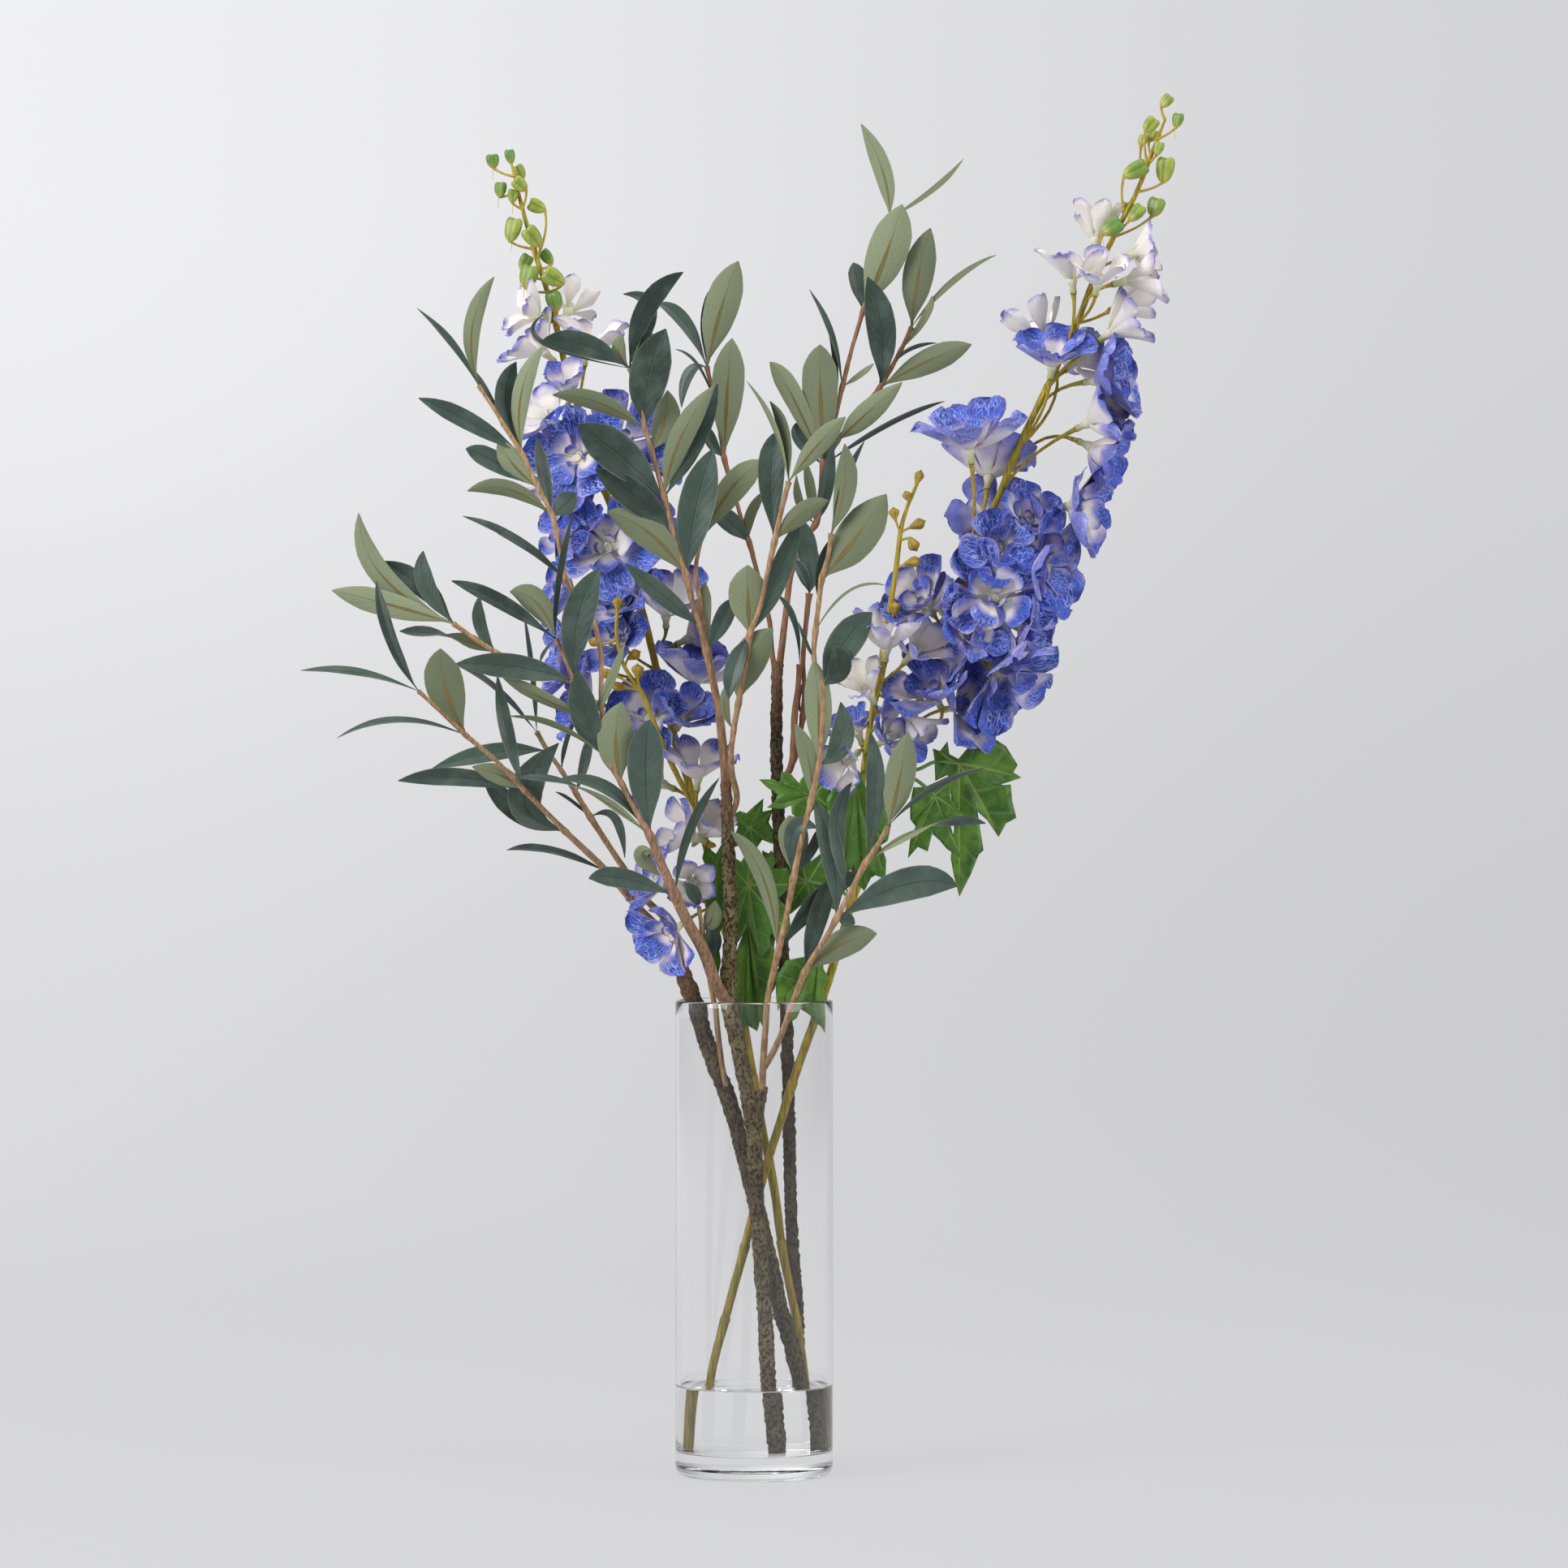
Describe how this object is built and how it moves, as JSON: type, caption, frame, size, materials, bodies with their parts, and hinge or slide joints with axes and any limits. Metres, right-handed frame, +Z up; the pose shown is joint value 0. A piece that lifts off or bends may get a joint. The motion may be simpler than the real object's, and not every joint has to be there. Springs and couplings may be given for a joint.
{
  "type": "delphinium and olive branches in vase",
  "caption": "Clear glass cylinder vase with a little water, holding two tall blue delphinium stems and three leafy olive branches.",
  "frame": {"origin": "centre of the vase's base, on the table", "axes": "+Z up the vase's axis; +X to the right and +Y away from someone who looks at the front"},
  "size_m": [0.5468, 0.2275, 0.8723],
  "materials": {
    "delphinium_left_florets_01": "soft petal",
    "delphinium_left_florets_03": "soft petal",
    "delphinium_left_florets_04": "soft petal",
    "delphinium_left_florets_06": "soft petal",
    "delphinium_left_florets_07": "soft petal",
    "delphinium_left_florets_08": "soft petal",
    "delphinium_left_florets_10": "soft petal",
    "delphinium_left_florets_11": "soft petal",
    "delphinium_left_florets_12": "soft petal",
    "delphinium_left_florets_13": "soft petal",
    "delphinium_left_florets_14": "soft petal",
    "delphinium_left_florets_15": "soft petal",
    "delphinium_left_florets_17": "soft petal",
    "delphinium_left_florets_18": "soft petal",
    "delphinium_left_florets_20": "soft petal",
    "delphinium_left_florets_21": "soft petal",
    "delphinium_left_florets_25": "soft petal",
    "delphinium_left_florets_26": "soft petal",
    "delphinium_left_florets_28": "soft petal",
    "delphinium_left_florets_29": "soft petal",
    "delphinium_left_florets_30": "soft petal",
    "delphinium_left_stem": "satin stem",
    "delphinium_right_florets_01": "soft petal",
    "delphinium_right_florets_02": "soft petal",
    "delphinium_right_florets_03": "soft petal",
    "delphinium_right_florets_04": "soft petal",
    "delphinium_right_florets_05": "soft petal",
    "delphinium_right_florets_08": "soft petal",
    "delphinium_right_florets_10": "soft petal",
    "delphinium_right_florets_11": "soft petal",
    "delphinium_right_florets_15": "soft petal",
    "delphinium_right_florets_24": "soft petal",
    "delphinium_right_florets_25": "soft petal",
    "delphinium_right_florets_26": "soft petal",
    "delphinium_right_florets_28": "soft petal",
    "delphinium_right_florets_30": "soft petal",
    "delphinium_right_florets_31": "soft petal",
    "delphinium_right_florets_33": "soft petal",
    "delphinium_right_florets_34": "soft petal",
    "delphinium_right_florets_35": "soft petal",
    "delphinium_right_florets_37": "soft petal",
    "delphinium_right_florets_38": "soft petal",
    "delphinium_right_florets_40": "soft petal",
    "delphinium_right_stem": "satin stem",
    "olive_back_twig": "satin leaf",
    "olive_centre_spray": "satin leaf",
    "olive_fork_spray": "satin leaf",
    "olive_front_spray": "satin leaf",
    "olive_leader_spray": "satin leaf",
    "olive_left_low_spray": "satin leaf",
    "olive_left_mid_spray": "satin leaf",
    "olive_left_trunk": "rough bark",
    "olive_middle_trunk": "rough bark",
    "olive_right_spray": "satin leaf",
    "olive_right_trunk": "rough bark",
    "olive_tall_spray": "satin leaf",
    "olive_top_spray": "satin leaf",
    "vase": "clear",
    "water": "clear"
  },
  "bodies": {
    "root": {"delphinium_left_florets_01": "delphinium_left_florets_01", "delphinium_left_florets_03": "delphinium_left_florets_03", "delphinium_left_florets_04": "delphinium_left_florets_04", "delphinium_left_florets_06": "delphinium_left_florets_06", "delphinium_left_florets_07": "delphinium_left_florets_07", "delphinium_left_florets_08": "delphinium_left_florets_08", "delphinium_left_florets_10": "delphinium_left_florets_10", "delphinium_left_florets_11": "delphinium_left_florets_11", "delphinium_left_florets_12": "delphinium_left_florets_12", "delphinium_left_florets_13": "delphinium_left_florets_13", "delphinium_left_florets_14": "delphinium_left_florets_14", "delphinium_left_florets_15": "delphinium_left_florets_15", "delphinium_left_florets_17": "delphinium_left_florets_17", "delphinium_left_florets_18": "delphinium_left_florets_18", "delphinium_left_florets_20": "delphinium_left_florets_20", "delphinium_left_florets_21": "delphinium_left_florets_21", "delphinium_left_florets_25": "delphinium_left_florets_25", "delphinium_left_florets_26": "delphinium_left_florets_26", "delphinium_left_florets_28": "delphinium_left_florets_28", "delphinium_left_florets_29": "delphinium_left_florets_29", "delphinium_left_florets_30": "delphinium_left_florets_30", "delphinium_left_stem": "delphinium_left_stem", "delphinium_right_florets_01": "delphinium_right_florets_01", "delphinium_right_florets_02": "delphinium_right_florets_02", "delphinium_right_florets_03": "delphinium_right_florets_03", "delphinium_right_florets_04": "delphinium_right_florets_04", "delphinium_right_florets_05": "delphinium_right_florets_05", "delphinium_right_florets_08": "delphinium_right_florets_08", "delphinium_right_florets_10": "delphinium_right_florets_10", "delphinium_right_florets_11": "delphinium_right_florets_11", "delphinium_right_florets_15": "delphinium_right_florets_15", "delphinium_right_florets_24": "delphinium_right_florets_24", "delphinium_right_florets_25": "delphinium_right_florets_25", "delphinium_right_florets_26": "delphinium_right_florets_26", "delphinium_right_florets_28": "delphinium_right_florets_28", "delphinium_right_florets_30": "delphinium_right_florets_30", "delphinium_right_florets_31": "delphinium_right_florets_31", "delphinium_right_florets_33": "delphinium_right_florets_33", "delphinium_right_florets_34": "delphinium_right_florets_34", "delphinium_right_florets_35": "delphinium_right_florets_35", "delphinium_right_florets_37": "delphinium_right_florets_37", "delphinium_right_florets_38": "delphinium_right_florets_38", "delphinium_right_florets_40": "delphinium_right_florets_40", "delphinium_right_stem": "delphinium_right_stem", "olive_back_twig": "olive_back_twig", "olive_centre_spray": "olive_centre_spray", "olive_fork_spray": "olive_fork_spray", "olive_front_spray": "olive_front_spray", "olive_leader_spray": "olive_leader_spray", "olive_left_low_spray": "olive_left_low_spray", "olive_left_mid_spray": "olive_left_mid_spray", "olive_left_trunk": "olive_left_trunk", "olive_middle_trunk": "olive_middle_trunk", "olive_right_spray": "olive_right_spray", "olive_right_trunk": "olive_right_trunk", "olive_tall_spray": "olive_tall_spray", "olive_top_spray": "olive_top_spray", "vase": "vase", "water": "water"}
  },
  "joints": []
}
